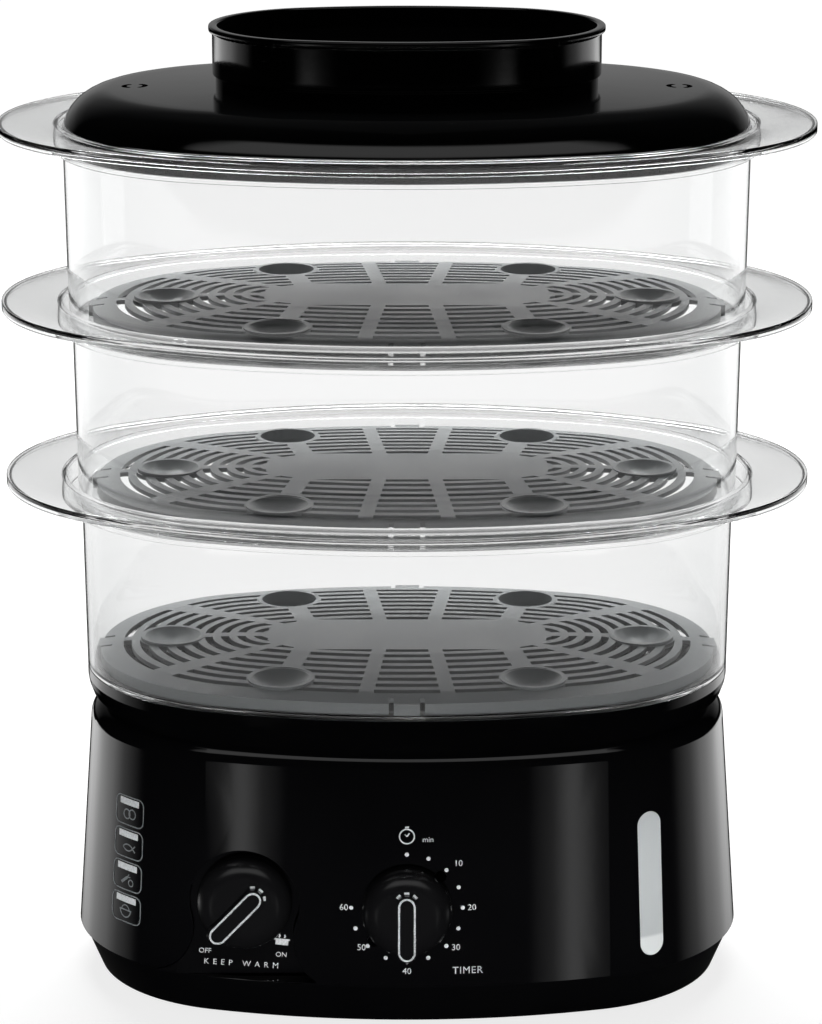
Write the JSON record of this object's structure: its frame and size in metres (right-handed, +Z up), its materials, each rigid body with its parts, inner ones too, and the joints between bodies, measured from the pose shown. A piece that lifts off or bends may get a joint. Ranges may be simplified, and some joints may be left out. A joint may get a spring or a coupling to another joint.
{
  "type": "electric food steamer",
  "caption": "Electric food steamer: gloss black oval base with timer and keep-warm knobs and a level window, stacked clear bowls with lift-out grates, and a lid with a cup handle",
  "frame": {"origin": "on the table under the middle of the base, the centre of the overall box in plan", "axes": "+Z up, the front with the knobs faces -Y, +X towards the level window on the viewer's right"},
  "size_m": [0.3648, 0.244, 0.441],
  "materials": {
    "gloss_black": "high gloss",
    "matte_black": "fine matt grain",
    "satin_black": "satin",
    "clear_plastic": "clear, polished",
    "smoked_clear": "translucent, polished",
    "grey_plastic": "satin",
    "dark_tank": "satin",
    "stainless": "polished",
    "element_sheath": "drawn tube",
    "zinc_steel": "zinc plated",
    "black_rubber": "matt",
    "red_silicone": "matt",
    "phenolic": "moulded",
    "white_sleeve": "woven sleeve",
    "nylon": "moulded"
  },
  "bodies": {
    "base": {"base_housing": "gloss_black", "bottom_cover": "matte_black", "rubber_feet": "black_rubber", "cover_screws": "zinc_steel", "water_tank": "dark_tank", "heater_dish": "stainless", "heater_seal": "red_silicone", "heating_element": "element_sheath", "clamp_ring": "zinc_steel", "clamp_screws": "zinc_steel", "thermostat": "phenolic", "thermal_fuse": "white_sleeve", "terminal_block": "nylon", "cable_gland": "black_rubber", "level_window": "smoked_clear", "level_spigot": "red_silicone", "timer_case": "nylon", "timer_bell": "zinc_steel", "timer_screws": "zinc_steel", "keep_warm_bezel": "matte_black", "keep_warm_switch": "nylon"},
    "timer_dial": {"timer_knob": "satin_black", "timer_shaft": "zinc_steel"},
    "keep_warm_dial": {"keep_warm_knob": "satin_black", "keep_warm_shaft": "nylon"},
    "tray": {"juice_tray": "gloss_black"},
    "bowl_bottom": {"bowl_1": "clear_plastic", "bowl_1_flange": "clear_plastic"},
    "bowl_middle": {"bowl_2": "clear_plastic", "bowl_2_flange": "clear_plastic"},
    "bowl_top": {"bowl_3": "clear_plastic", "bowl_3_flange": "clear_plastic"},
    "grate_bottom": {"grate_1": "grey_plastic"},
    "grate_middle": {"grate_2": "grey_plastic"},
    "grate_top": {"grate_3": "grey_plastic"},
    "cover": {"lid": "gloss_black", "lid_cup": "gloss_black", "lid_screws": "zinc_steel"}
  },
  "joints": [
    {"name": "timer_turn", "type": "hinge", "parent": "base", "child": "timer_dial", "pos_m": [0, -0.09151, 0.0585], "axis": [0, -0.9973, 0.0735], "range_deg": [-90, 180]},
    {"name": "keep_warm_turn", "type": "hinge", "parent": "base", "child": "keep_warm_dial", "pos_m": [-0.073, -0.076, 0.057], "axis": [0, -0.9973, 0.0735], "range_deg": [0, 88]},
    {"name": "tray_lift", "type": "slide", "parent": "base", "child": "tray", "axis": [0, 0, 1], "range_m": [0, 0.12]},
    {"name": "bowl_bottom_lift", "type": "slide", "parent": "tray", "child": "bowl_bottom", "axis": [0, 0, 1], "range_m": [0, 0.12]},
    {"name": "bowl_middle_lift", "type": "slide", "parent": "bowl_bottom", "child": "bowl_middle", "axis": [0, 0, 1], "range_m": [0, 0.12]},
    {"name": "bowl_top_lift", "type": "slide", "parent": "bowl_middle", "child": "bowl_top", "axis": [0, 0, 1], "range_m": [0, 0.12]},
    {"name": "grate_bottom_lift", "type": "slide", "parent": "bowl_bottom", "child": "grate_bottom", "axis": [0, 0, 1], "range_m": [0, 0.055]},
    {"name": "grate_middle_lift", "type": "slide", "parent": "bowl_middle", "child": "grate_middle", "axis": [0, 0, 1], "range_m": [0, 0.055]},
    {"name": "grate_top_lift", "type": "slide", "parent": "bowl_top", "child": "grate_top", "axis": [0, 0, 1], "range_m": [0, 0.055]},
    {"name": "cover_lift", "type": "slide", "parent": "bowl_top", "child": "cover", "axis": [0, 0, 1], "range_m": [0, 0.12]}
  ]
}
